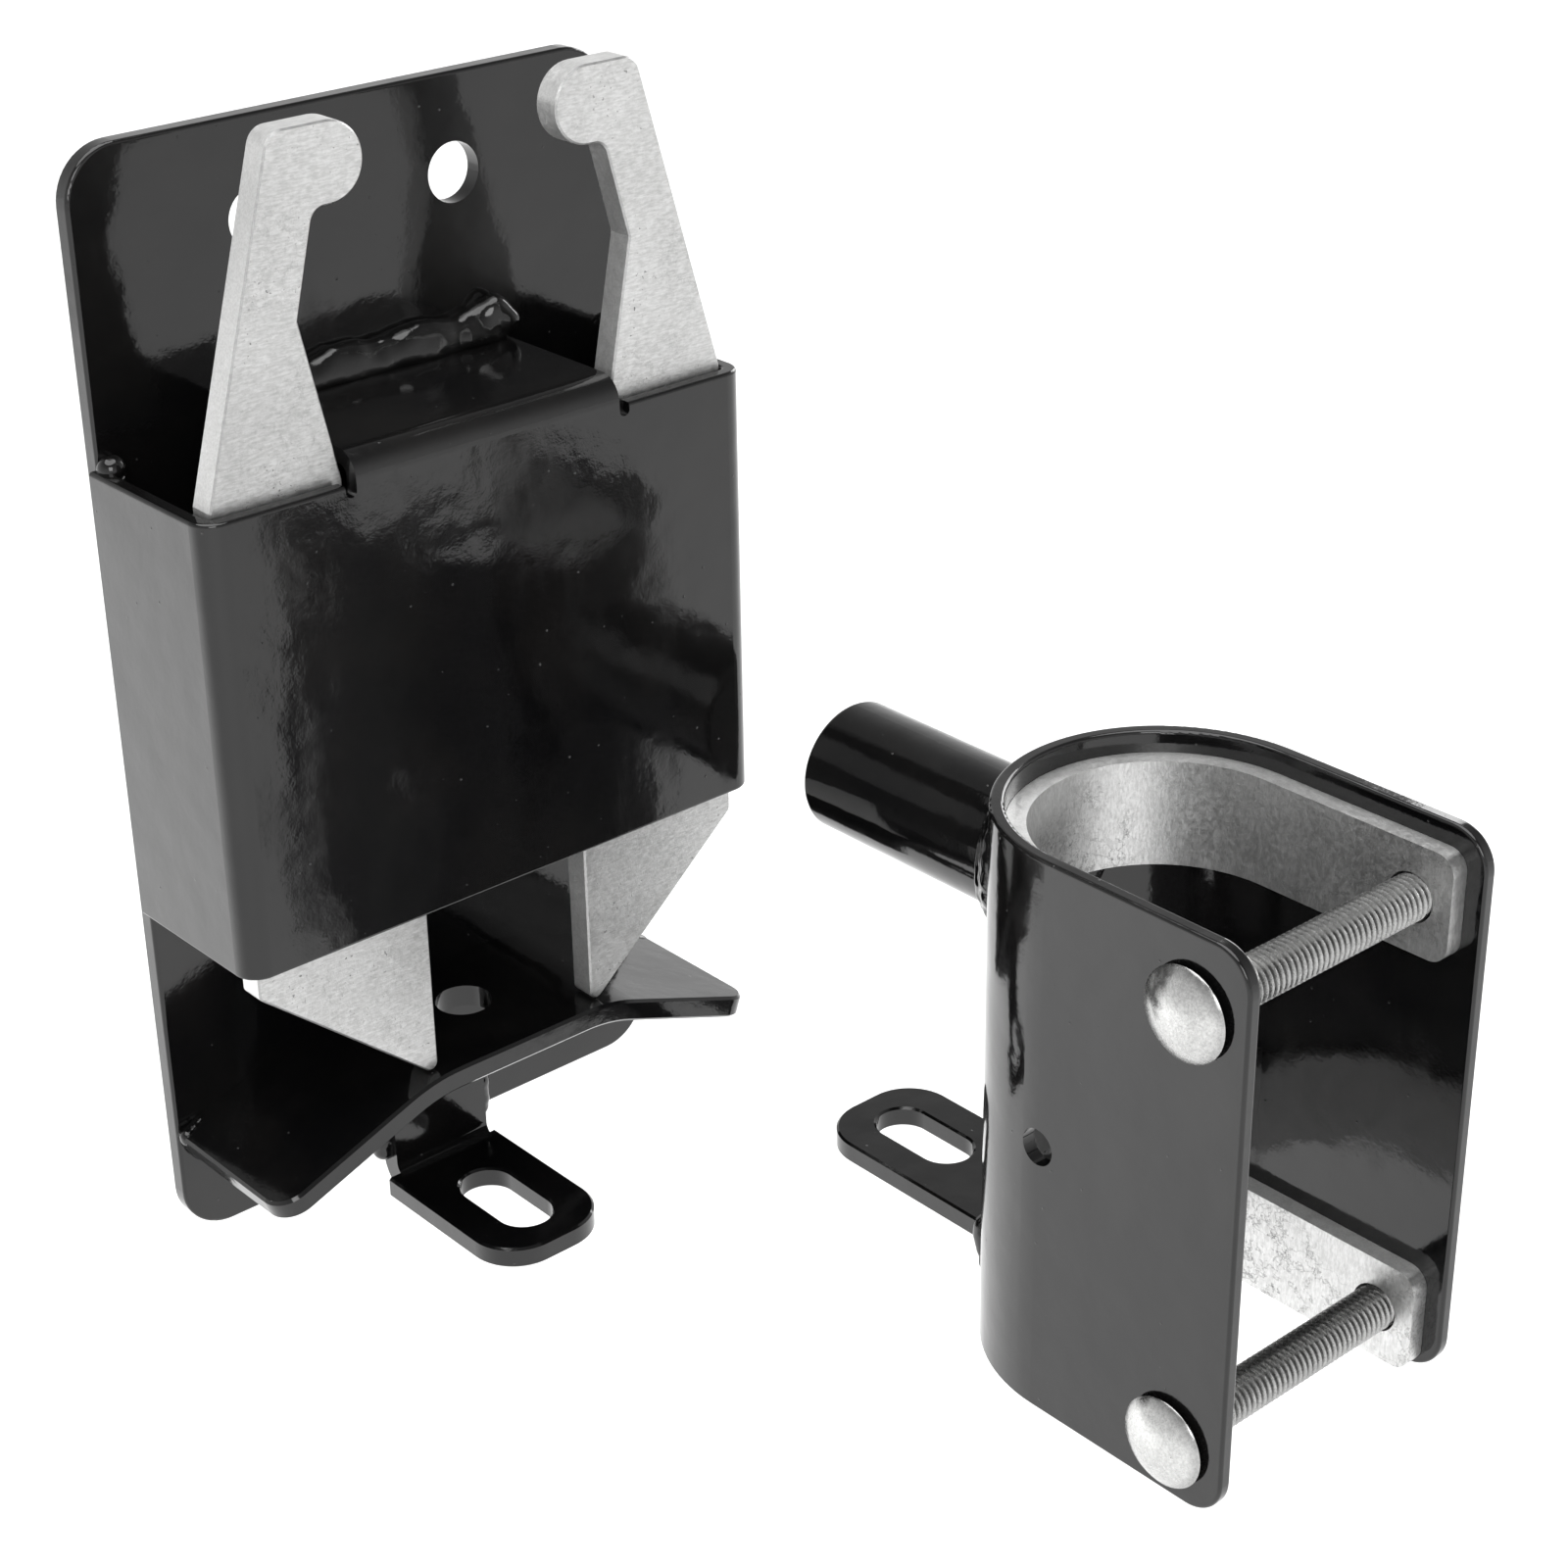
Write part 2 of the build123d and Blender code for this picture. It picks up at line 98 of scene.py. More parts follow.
# %% Studio floor
FLOOR_DROP = 0.25
bpy.context.scene.view_settings.view_transform = "Standard"
bpy.ops.object.select_all(action="DESELECT")
bpy.ops.mesh.primitive_plane_add(size=14, location=(0, 0, cad_box[0].z - FLOOR_DROP))
floor = bpy.context.object
floor.name = "studio_floor"
paper = bpy.data.materials.new("white paper")
paper.use_nodes = True
paper.node_tree.nodes["Principled BSDF"].inputs["Base Color"].default_value = (0.86, 0.86, 0.86, 1)
paper.node_tree.nodes["Principled BSDF"].inputs["Roughness"].default_value = 0.8
floor.data.materials.append(paper)
print("floor at", round(floor.location.z, 3))

# %% [markdown]
# A real studio would hang a large cloth overhead.  A sun with a very wide angle does the same: it
# has no edge that gloss could mirror, and no hard shadow.  Small lamps add the pool on the floor,
# some light from the front for the plating, and a rim on the right.

# %% Soft lights
def lamp(name, kind, place, aim, energy, **settings):
    """A light of one kind, turned towards a point."""
    data = bpy.data.lights.new(name, kind)
    data.energy = energy
    for setting, value in settings.items():
        setattr(data, setting, value)
    light = bpy.data.objects.new(name, data)
    bpy.context.scene.collection.objects.link(light)
    light.location = place
    light.rotation_euler = (Vector(aim) - Vector(place)).to_track_quat("-Z", "Y").to_euler()
    return light


lamp("overhead", "SUN", (-0.2, 0.1, 2), (0, 0, 0), 3.3, angle=math.radians(65))
lamp("left_pool", "SPOT", (-0.55, 0.75, 1.2), (-0.55, 0.65, -0.36), 92,
     spot_size=math.radians(55), spot_blend=1)
lamp("front_fill", "AREA", (-0.9, -1.3, 0.8), (0, 0, 0), 10, size=0.8)
lamp("right_rim", "AREA", (1.3, 0.3, 0.5), (0, 0, 0), 8, size=0.7)
print("lights", len(bpy.data.lights))

# %% [markdown]
# The room glows white at the horizon and fades towards the ceiling, so that faces which mirror
# the walls are bright, and the upward faces of the ramp and tabs, which mirror the ceiling, stay
# nearly black.  A panel of lamps could do it too, but its edges would show in the gloss.

# %% World glow
world = bpy.data.worlds.new("studio")
bpy.context.scene.world = world
world.use_nodes = True
tree = world.node_tree
sky = tree.nodes["Background"]
compass = tree.nodes.new("ShaderNodeTexCoord")
height = tree.nodes.new("ShaderNodeSeparateXYZ")
fade = tree.nodes.new("ShaderNodeMapRange")
fade.interpolation_type = "SMOOTHSTEP"
for socket, value in (("From Min", 0.0), ("From Max", 1.0), ("To Min", 1.0), ("To Max", 0.15)):
    fade.inputs[socket].default_value = value
tree.links.new(compass.outputs["Generated"], height.inputs[0])
tree.links.new(height.outputs["Z"], fade.inputs["Value"])
tree.links.new(fade.outputs["Result"], sky.inputs["Strength"])
sky.inputs["Color"].default_value = (1, 1, 1, 1)
print("world ready")

# %% [markdown]
# Finishes are written as arithmetic.  A Wire is one output of a node, and adding or multiplying
# Wires adds the Math node that does it, so a finish reads like a formula.

# %% Shader arithmetic
class Wire:
    """One output socket of a finish, with arithmetic."""

    def __init__(self, finish, socket):
        self.finish, self.socket = finish, socket

    def _math(self, operation, first, second):
        return self.finish.node("ShaderNodeMath", {"operation": operation}, {0: first, 1: second})

    def __add__(self, other):
        return self._math("ADD", self, other)

    __radd__ = __add__

    def __mul__(self, other):
        return self._math("MULTIPLY", self, other)

    __rmul__ = __mul__

    def __sub__(self, other):
        return self._math("SUBTRACT", self, other)

    def __rsub__(self, other):
        return self._math("SUBTRACT", other, self)

    def __abs__(self):
        return self.finish.node("ShaderNodeMath", {"operation": "ABSOLUTE"}, {0: self})


print("arithmetic ready")

# %% [markdown]
# A Finish is one material under construction.  Its patterns are placed by the object's own
# coordinates in metres, so a scale of 1000 means a pattern about a millimetre across, and a
# pattern keeps its size on every piece.

# %% Finish class
class Finish:
    """One material: its node tree, its shader, and the patterns that feed it."""

    def __init__(self, name, **constants):
        self.material = bpy.data.materials.new(name)
        self.material.use_nodes = True
        self.tree = self.material.node_tree
        self.shader = self.tree.nodes["Principled BSDF"]
        for socket, value in constants.items():
            self.shader.inputs[socket.replace("_", " ")].default_value = value
        self.place = self.node("ShaderNodeTexCoord", {}, {}, "Object")

    def node(self, kind, settings, sockets, output=0):
        """One node with its settings and inputs made, and the Wire that leaves it."""
        made = self.tree.nodes.new(kind)
        for name, value in settings.items():
            setattr(made, name, value)
        for name, value in sockets.items():
            if isinstance(value, Wire):
                self.tree.links.new(value.socket, made.inputs[name])
            else:
                made.inputs[name].default_value = value
        return Wire(self, made.outputs[output])

    def noise(self, scale, detail=2.0, roughness=0.5, place=None):
        """A cloudy pattern from 0 to 1, so many to the metre."""
        sockets = {"Vector": place or self.place, "Scale": scale, "Detail": detail,
                   "Roughness": roughness}
        return self.node("ShaderNodeTexNoise", {}, sockets)

    def cells(self, scale):
        """Distance to the nearest of a scatter of points."""
        return self.node("ShaderNodeTexVoronoi", {}, {"Vector": self.place, "Scale": scale})

    def step(self, value, low, high):
        """Zero below low and one above high, with a soft change between."""
        sockets = {"Value": value, "From Min": low, "From Max": high}
        return self.node("ShaderNodeMapRange", {"interpolation_type": "SMOOTHSTEP"}, sockets)

    def stretched(self, factors):
        """The object's coordinates, scaled apart on each axis, to turn a pattern into streaks."""
        return self.node("ShaderNodeMapping", {}, {"Vector": self.place, "Scale": factors})

    def blend(self, amount, first, second):
        """A colour between two colours or Wires."""
        made = self.tree.nodes.new("ShaderNodeMix")
        made.data_type = "RGBA"
        for index, value in ((0, amount), (6, first), (7, second)):
            if isinstance(value, Wire):
                self.tree.links.new(value.socket, made.inputs[index])
            else:
                made.inputs[index].default_value = value if index == 0 else (*value, 1)
        return Wire(self, made.outputs[2])

    def bump(self, layers):
        """Several heights, each with the distance it stands for, stacked into one normal."""
        normal = None
        for height_wire, distance in layers:
            sockets = {"Height": height_wire, "Distance": distance, "Strength": 1.0}
            if normal:
                sockets["Normal"] = normal
            normal = self.node("ShaderNodeBump", {}, sockets)
        return normal

    def feed(self, **sockets):
        """The patterns linked to the shader, and the material that is then ready."""
        for socket, value in sockets.items():
            self.tree.links.new(value.socket, self.shader.inputs[socket.replace("_", " ")])
        return self.material


print("finish class ready")

# %% [markdown]
# The black is powder coat baked over steel.  It flows out to a gloss, but never to a mirror: a
# faint orange peel about a millimetre across breaks up the edge of every reflection, slow swells
# bend it, and a few dust nibs and pinholes are trapped in it.  Over weld the coat is lumpier.

# %% Black powder coat
def powder_coat(name, swell, peel):
    """Black powder coat, with the heights in metres of its slow swell and of its orange peel."""
    coat = Finish(name, IOR=1.5)
    peel_height = coat.noise(620, 3, 0.55)
    wave_height = coat.noise(230, 3, 0.5)
    fine_height = coat.noise(2600, 2)
    swell_height = coat.noise(55, 2)
    nibs = coat.step(coat.cells(210), 0.055, 0.02)
    pinholes = coat.step(coat.cells(330), 0.035, 0.01)
    patches = coat.noise(38, 4, 0.6)
    patchy = coat.step(patches, 0.35, 0.7)
    colour = coat.blend(patchy, (0.0025, 0.0025, 0.0027), (0.0055, 0.0052, 0.005))
    colour = coat.blend(nibs * 0.5, colour, (0.035, 0.035, 0.034))
    smears = coat.step(coat.noise(70, 5, 0.7, coat.stretched((1, 1, 0.35))), 0.5, 0.72)
    rough = 0.045 + 0.05 * patches + 0.03 * peel_height + 0.11 * smears + 0.2 * nibs
    normal = coat.bump([
        (swell_height, swell),
        (wave_height, 2.2 * peel),
        (peel_height, peel),
        (fine_height, 0.000004),
        (nibs - pinholes, 0.00005),
    ])
    return coat.feed(Base_Color=colour, Roughness=rough, Normal=normal)


black_coat = powder_coat("black powder coat", 0.0003, 0.000015)
black_weld = powder_coat("black powder coat over weld", 0.0009, 0.00003)
print("coats", black_coat.name, "and", black_weld.name)

# %% [markdown]
# The fingers are cut from flat bar and zinc plated.  Plating is metal through and through, so its
# brightness comes from what it mirrors, and its look from a soft, uneven polish: a fine crystal
# grain, faint lines from the rolling mill, cloudy patches, hairline scratches and a few dark
# pinholes.  Three masks come from the surface itself: flat faces keep the scratches, cut edges
# get a painted highlight, and the slanted chamfer between them gets a thin painted line of shade.

# %% Zinc plate
# Painted shade in the bolts' thread roots: the two radii below bound where it fades, and it starts a
# set distance past the clamp's seat.
THREAD_DEPTH = (0.00385, 0.0034)
ROOT_SHADE_START = 0.009
shell_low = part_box("clamp_shell")[0]
BEHIND_SEAT = (shell_low.x + ROOT_SHADE_START - 0.0002, shell_low.x + ROOT_SHADE_START + 0.0002)


def zinc_plate(name, dark, light, polish, cut_mask, mill_lines, hairlines, pits, grain=1.0,
               threads=()):
    """Plating: colours, smoothness, which normals are cut edges, and how worn it is.

    cut_mask is an axis and two limits: the squared normal along that axis is a cut edge's below
    the first limit and a flat face's above the second, or the other way round if they fall.
    threads holds the place in Y and Z of each bolt's axis, round which the thread's roots are
    darkened with painted shade.
    """
    zinc = Finish(name, IOR=2.2)
    normal = zinc.node("ShaderNodeNewGeometry", {}, {}, "Normal")
    axis, cut_limit, flat_limit = cut_mask
    facing = zinc.node("ShaderNodeSeparateXYZ", {}, {0: normal}, axis)
    facing = facing * facing
    flat_face = zinc.step(facing, cut_limit, flat_limit)
    # The chamfer mask picks slanted faces by their normals, for a painted line of shade.
    painted_chamfer_shade = zinc.step(facing, 0.2, 0.35) * zinc.step(facing, 0.75, 0.6)
    clouds = zinc.noise(70, 5, 0.65)
    crystals = zinc.step(zinc.noise(1000, 4, 0.75), 0.36, 0.64)
    lines = zinc.step(zinc.noise(2600, 3, 0.65, zinc.stretched(mill_lines)), 0.36, 0.64)
    hair = 1 - zinc.step(abs(zinc.noise(130, 5, 0.7) - 0.5), 0.004, 0.018)
    drawn_out = zinc.stretched((1, 0.5, 1))
    hair_two = 1 - zinc.step(abs(zinc.noise(210, 4, 0.6, drawn_out) - 0.48), 0.003, 0.014)
    worn = zinc.step(zinc.noise(45, 3), 0.42, 0.62)
    scratches = (0.6 * hair + 0.5 * hair_two) * worn
    specks = zinc.step(zinc.noise(1500, 2, 0.4), 0.68, 0.74) * zinc.step(clouds, 0.45, 0.6)
    tone = 0.3 * zinc.step(clouds, 0.3, 0.7) + 0.28 * crystals + 0.42 * lines
    colour = zinc.blend(tone, dark, light)
    colour = zinc.blend(hairlines * scratches * flat_face, colour, (0.16, 0.16, 0.16))
    colour = zinc.blend(pits * specks * flat_face, colour, (0.05, 0.05, 0.048))
    # Painted shade: the slanted chamfer faces are darkened to a thin dark line.
    colour = zinc.blend(0.5 * painted_chamfer_shade, colour, (0.2, 0.2, 0.2))
    # Painted highlight: cut edges, picked by their normals, are lightened; the same mask also lowers
    # the metallic value.
    cut_edge_and_highlight = (1 - flat_face) * (1 - painted_chamfer_shade)
    colour = zinc.blend(0.25 * cut_edge_and_highlight, colour, (0.8, 0.8, 0.79))
    for axis_y, axis_z in threads:
        flattened = zinc.node("ShaderNodeVectorMath", {"operation": "MULTIPLY"},
                              {0: zinc.place, 1: (0, 1, 1)})
        reach = zinc.node("ShaderNodeVectorMath", {"operation": "DISTANCE"},
                          {0: flattened, 1: (0, axis_y, axis_z)}, "Value")
        in_clamp = zinc.step(zinc.node("ShaderNodeSeparateXYZ", {}, {0: zinc.place}, 0), *BEHIND_SEAT)
        # Painted shade: the thread's roots, near the bolt's axis and past the seat, are darkened.
        painted_root_shade = 0.8 * zinc.step(reach, *THREAD_DEPTH) * in_clamp
        colour = zinc.blend(painted_root_shade, colour, (0.09, 0.09, 0.088))
    rough = polish + 0.16 * clouds + 0.1 * crystals - 0.06 * lines + 0.12 * scratches
    bumps = zinc.bump([
        (clouds, 0.00009 * grain),
        (crystals, 0.000011 * grain),
        (lines, 0.000006 * grain),
        (scratches * hairlines, -0.000012),
        (specks * pits, -0.00003),
    ])
    metallic = 0.92 - 0.25 * specks - 0.15 * cut_edge_and_highlight
    return zinc.feed(Base_Color=colour, Roughness=rough, Metallic=metallic, Normal=bumps)


print("zinc recipe ready")

# %% [markdown]
# Bar, strap and fasteners are made in different ways, so each has its own plating: the fingers
# show lines across the bar, the straps show upright lines and many scratches, and the bolts are
# the smoothest.  The axis in a mask is the one that a piece's flat faces turn to, or on a strap
# its cut edges.  Each plating is told the range between its darkest and lightest tone.

# %% The three platings
# The bolts' axes place the painted shade in the fasteners' thread roots.
bolt_axes = []
for node in ("lower_carriage_bolt", "upper_carriage_bolt"):
    low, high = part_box(node)
    bolt_axes.append(((low.y + high.y) / 2, (low.z + high.z) / 2))
BAR_FACES, STRAP_FACES, ALL_FACES = (1, 0.75, 0.9), (2, 0.9, 0.6), (0, -1.0, -0.5)
zinc_finger = zinc_plate("zinc plate on bar", (0.4, 0.4, 0.395), (0.65, 0.65, 0.645), 0.3,
                         BAR_FACES, (0.2, 1, 1), 0.3, 0.8)
zinc_strap = zinc_plate("zinc plate on strap", (0.46, 0.46, 0.455), (0.72, 0.72, 0.715), 0.3,
                        STRAP_FACES, (1, 1, 0.3), 0.8, 0.35)
zinc_fastener = zinc_plate("zinc plate on fasteners", (0.36, 0.36, 0.355), (0.64, 0.64, 0.63), 0.14,
                           ALL_FACES, (1, 1, 1), 0.5, 0.2, grain=0.3, threads=bolt_axes)
print("zinc finishes", zinc_finger.name, zinc_strap.name, zinc_fastener.name)

# %% [markdown]
# The CAD nodes already have the true shapes, bends and rounded rims, so they stay and only take
# a finish.  The record says which slot each node belongs to, so the finishes follow the record.

# %% Finishes on the CAD nodes
FINISH_OF_SLOT = {
    "black_coat": black_coat,
    "black_weld": black_weld,
    "zinc_finger": zinc_finger,
    "zinc_strap": zinc_strap,
    "zinc_fastener": zinc_fastener,
}
slot_of_node = {part["node"]: part["material_slot"] for part in frame["record"]["subparts"]}
for name, node in frame["nodes"].items():
    finish = FINISH_OF_SLOT[slot_of_node[name]]
    for material_slot in node.material_slots:
        material_slot.material = finish
print("dressed", len(slot_of_node), "nodes")

# %% [markdown]
# New pieces are modelled by hand operators, so a few short helpers come first: they clear the
# selection, select faces by a test, join pieces, apply a modifier, and finish a piece.  Finishing
# puts the piece's place in its mesh, merges doubles, turns the faces outwards, and softens all
# but sharp edges.

# %% Modelling helpers
def begin():
    """Object mode with nothing selected."""
    if bpy.context.mode != "OBJECT":
        bpy.ops.object.mode_set(mode="OBJECT")
    bpy.ops.object.select_all(action="DESELECT")


def pick(kind, test):
    """Select the active mesh's vertices or faces whose place passes a test, in edit mode."""
    bpy.ops.object.mode_set(mode="EDIT")
    bpy.ops.mesh.select_mode(type=kind)
    bpy.ops.mesh.select_all(action="DESELECT")
    bpy.ops.object.mode_set(mode="OBJECT")
    mesh = bpy.context.object.data
    for item in mesh.vertices if kind == "VERT" else mesh.polygons:
        item.select = test(item.co if kind == "VERT" else item.center)
    bpy.ops.object.mode_set(mode="EDIT")


def join(pieces):
    """Several objects made one, with the first one's name and origin."""
    begin()
    for piece in pieces:
        piece.select_set(True)
    bpy.context.view_layer.objects.active = pieces[0]
    bpy.ops.object.join()
    return bpy.context.object


def apply_modifier(piece, kind, **settings):
    """A modifier added with its settings and applied at once."""
    modifier = piece.modifiers.new(kind.lower(), kind)
    for name, value in settings.items():
        setattr(modifier, name, value)
    bpy.context.view_layer.objects.active = piece
    bpy.ops.object.modifier_apply(modifier=modifier.name)


def settle(piece, name, finish, angle=35):
    """The piece finished as told above, named, and given its material."""
    begin()
    piece.select_set(True)
    bpy.context.view_layer.objects.active = piece
    bpy.ops.object.transform_apply(location=True, rotation=True, scale=True)
    bpy.ops.object.mode_set(mode="EDIT")
    bpy.ops.mesh.select_all(action="SELECT")
    bpy.ops.mesh.remove_doubles(threshold=0.000002)
    bpy.ops.mesh.normals_make_consistent(inside=False)
    bpy.ops.object.mode_set(mode="OBJECT")
    bpy.ops.object.shade_smooth_by_angle(angle=math.radians(angle))
    piece.name = piece.data.name = name
    piece.data.materials.clear()
    piece.data.materials.append(finish)
    return piece


def hand_over(piece, body, slot, *nodes):
    """The piece rides on a body and stands for CAD nodes; slot is not used."""
    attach(piece, body)
    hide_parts(*nodes)
    print(piece.name, len(piece.data.polygons), "faces")


print("modelling helpers ready")

# %% [markdown]
# A weld is a row of frozen puddles.  It could be a swept tube with noise on it, but real ripples
# come from the torch stepping along, so here a ball is dropped at every step, each a little
# different in size.  A voxel remesh fuses them to one skin, and smoothing relaxes it, as the
# paint does.  Balls sit partly inside the plates, so the bead grows out of the corner.

# %% Weld helpers
def steps(start, end, spacing):
    """Points from start to end, about the spacing apart."""
    start, end = Vector(start), Vector(end)
    count = max(1, round((end - start).length / spacing))
    return [start.lerp(end, index / count) for index in range(count + 1)]


def weld(name, drops, finish, voxel=0.00034, relax=4):
    """One painted skin over drops of weld, each given as a point and a radius."""
    begin()
    balls = []
    for index, (point, radius) in enumerate(drops):
        uneven = 1 + 0.13 * math.sin(2.3 * index) * math.sin(0.7 * index + 1)
        bpy.ops.mesh.primitive_ico_sphere_add(subdivisions=3, radius=radius * uneven,
                                              location=point)
        balls.append(bpy.context.object)
    bead = join(balls)
    apply_modifier(bead, "REMESH", mode="VOXEL", voxel_size=voxel, use_smooth_shade=True)
    apply_modifier(bead, "SMOOTH", factor=0.5, iterations=relax)
    return settle(bead, name, finish, 60)


plate_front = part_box("back_plate")[0].y
print("plate front at", round(plate_front, 5))

# %% [markdown]
# The bead that shows most joins the housing's top flap to the plate.  It is wide, so each step
# drops three puddles, one above and one in front of the first, and it ends in a lump where the
# torch stopped.  Long smoothing melts them into one wavy band.

# %% Bead along the top flap
flap_low, flap_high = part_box("flap_weld")
PUDDLE_STEP, PUDDLE = 0.0024, 0.0033
line = steps((flap_low.x + 0.002, plate_front - 0.0012, flap_low.z + 0.0012),
             (flap_high.x - 0.003, plate_front - 0.0012, flap_low.z + 0.0020), PUDDLE_STEP)
drops = []
for index, point in enumerate(line):
    wander = Vector((0, -0.0003 * math.cos(1.3 * index), 0.0006 * math.sin(1.1 * index)))
    drops.append((point + wander, PUDDLE))
    drops.append((point + Vector((0.0018, -0.0018, -0.0008)) - 0.5 * wander, 0.62 * PUDDLE))
    drops.append((point + Vector((0.0009, 0.0001, 0.0020)) + wander, 0.62 * PUDDLE))
end_lump = line[-1] + Vector((0.0012, -0.0008, 0.0028))
drops += [(end_lump, 0.0029), (end_lump + Vector((0.0018, -0.0016, -0.0018)), 0.0024)]
flap_bead = weld("flap_bead", drops, black_weld, voxel=0.0004, relax=80)
hand_over(flap_bead, "post_latch", "black_weld", "flap_weld")

# %% [markdown]
# The housing is welded to the plate inside its two back corners, where the bead shows only at the
# top, as a blob.  The guide plate behind the fingers is tacked to the walls with short beads.

# %% Beads inside the housing
CORNER_STEP, CORNER_DROP = 0.0026, 0.0023
TACK_LENGTH, TACK_STEP, TACK_DROP = 0.014, 0.0022, 0.0019
for side, node in ((-1, "left_housing_weld"), (1, "right_housing_weld")):
    low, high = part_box(node)
    corner_x = side * (max(abs(low.x), abs(high.x)) - 0.0006)
    corner = (corner_x, plate_front - 0.001)
    line = steps((*corner, low.z), (*corner, high.z), CORNER_STEP)
    drops = [(point, CORNER_DROP) for point in line]
    drops.append((line[-1] + Vector((0, -0.0004, 0)), CORNER_DROP + 0.0001))
    corner_bead = weld(node.replace("weld", "bead"), drops, black_weld)
    hand_over(corner_bead, "post_latch", "black_weld", node)

guide_low, guide_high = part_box("guide_welds")
drops = []
for side in (-1, 1):
    for bottom in (guide_low.z, guide_high.z - TACK_LENGTH):
        corner = (side * (guide_high.x - 0.0005), guide_low.y + 0.0005)
        line = steps((*corner, bottom), (*corner, bottom + TACK_LENGTH), TACK_STEP)
        drops += [(point, TACK_DROP) for point in line]
guide_tacks = weld("guide_tacks", drops, black_weld)
hand_over(guide_tacks, "post_latch", "black_weld", "guide_welds")

# %% [markdown]
# The ramp is welded to the plate under both wings, with a tack on top of each wing's end.  Long
# beads on top would be in the fingers' way.

# %% Beads under and on the ramp
ramp_low, ramp_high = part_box("ramp_welds")
WING_BEND_X, WING_END_RISE = 0.0226, 0.00255
WING_STEP, WING_DROP = 0.002, 0.0024
TACK_X, TACK_Z = 0.0465, -0.0733
END_TACK_STEP, END_TACK_DROP = 0.0015, 0.0016
under_y = plate_front - 0.0009
drops = []
for side in (-1, 1):
    inner = (side * WING_BEND_X, under_y, ramp_high.z - 0.0007)
    outer = (side * (ramp_high.x - 0.001), under_y, ramp_low.z + WING_END_RISE)
    drops += [(point, WING_DROP) for point in steps(inner, outer, WING_STEP)]
    tack = Vector((side * TACK_X, plate_front - 0.0007, TACK_Z))
    tack_end = tack + Vector((side * 0.003, -0.0008, -0.0012))
    drops += [(point, END_TACK_DROP) for point in steps(tack, tack_end, END_TACK_STEP)]
ramp_beads = weld("ramp_beads", drops, black_weld, relax=10)
hand_over(ramp_beads, "post_latch", "black_weld", "ramp_welds")

# %% [markdown]
# The beads beside the lock tab's leg have closer steps and longer smoothing, so that the neck
# above the tab is one soft curve.

# %% Beads beside the lock tab's leg
tab_low, tab_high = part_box("lock_tab_welds")
LEG_STEP, LEG_DROP = 0.0017, 0.0023
drops = []
for side in (-1, 1):
    edge_x = side * (tab_high.x - 0.0025)
    line = steps((edge_x, under_y, tab_low.z), (edge_x, under_y, tab_high.z), LEG_STEP)
    drops += [(point, LEG_DROP) for point in line]
lock_tab_beads = weld("lock_tab_beads", drops, black_weld, relax=14)
hand_over(lock_tab_beads, "post_latch", "black_weld", "lock_tab_welds")

# %% [markdown]
# The striker pin and the gate lock tab are welded to the round back of the clamp, so their welds
# follow a saddle line: round the pin, and at each point as far back as the clamp's curve is there.

# %% Saddle welds on the clamp
clamp_low, clamp_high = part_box("clamp_shell")
clamp_r = (clamp_high.x - clamp_low.x) / 2
tube_axis = Vector(((clamp_low.x + clamp_high.x) / 2, clamp_high.y - clamp_r))


def on_clamp(x, z, proud):
    """The point on the clamp's round back at a sideways place and a height, standing proud."""
    depth = math.sqrt(clamp_r ** 2 - (x - tube_axis.x) ** 2)
    return Vector((x, tube_axis.y + depth + proud, z))


pin_low, pin_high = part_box("striker_pin")
pin_r = (pin_high.z - pin_low.z) / 2
pin_z = (pin_high.z + pin_low.z) / 2
RING_STEPS, RING_DROP = 48, 0.0034
drops = []
for index in range(RING_STEPS):
    turn = 2 * math.pi * index / RING_STEPS
    x = tube_axis.x + (pin_r - 0.0002) * math.cos(turn)
    z = pin_z + (pin_r - 0.0002) * math.sin(turn)
    drops += [(on_clamp(x, z, 0.0), RING_DROP), (on_clamp(x, z, 0.0034), 0.5 * RING_DROP)]
striker_fillet = weld("striker_fillet", drops, black_weld, relax=24)
hand_over(striker_fillet, "gate_bracket", "black_weld", "striker_weld")

# %% [markdown]
# The tab's weld runs over its top and under its bottom, where a second, smaller row spreads it.
# At both ends it runs down the tab's side and tapers off.

# %% Weld round the gate lock tab
gate_low, gate_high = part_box("clamp_lock_tab")
rows = ((gate_high.z - 0.0004, 0.0024), (gate_low.z + 0.0003, 0.0027), (gate_low.z - 0.002, 0.0016))
ROW_STEPS, SIDE_STEPS, SIDE_FALL, TAPER = 13, 6, 0.0012, 0.0002
drops = []
for level, size in rows:
    for index in range(ROW_STEPS + 1):
        x = gate_low.x + (gate_high.x - gate_low.x) * index / ROW_STEPS
        drops.append((on_clamp(x, level, 0.0003), size))
for x, way in ((gate_low.x, -1), (gate_high.x, 1)):
    for fall in range(SIDE_STEPS):
        outward = way * (TAPER + TAPER * fall)
        place = on_clamp(x + outward, gate_high.z - SIDE_FALL * fall, 0.0008 - TAPER * fall)
        drops.append((place, 0.0027 - TAPER * fall))
gate_tab_fillet = weld("gate_tab_fillet", drops, black_weld, relax=9)
hand_over(gate_tab_fillet, "gate_bracket", "black_weld", "clamp_tab_weld")

# %% [markdown]
# The carriage bolts are the finest detail: a low domed head, a square neck, a short plain shank
# and a rolled thread.  Their sizes are those of an M8 bolt, and the CAD bolt gives the place.

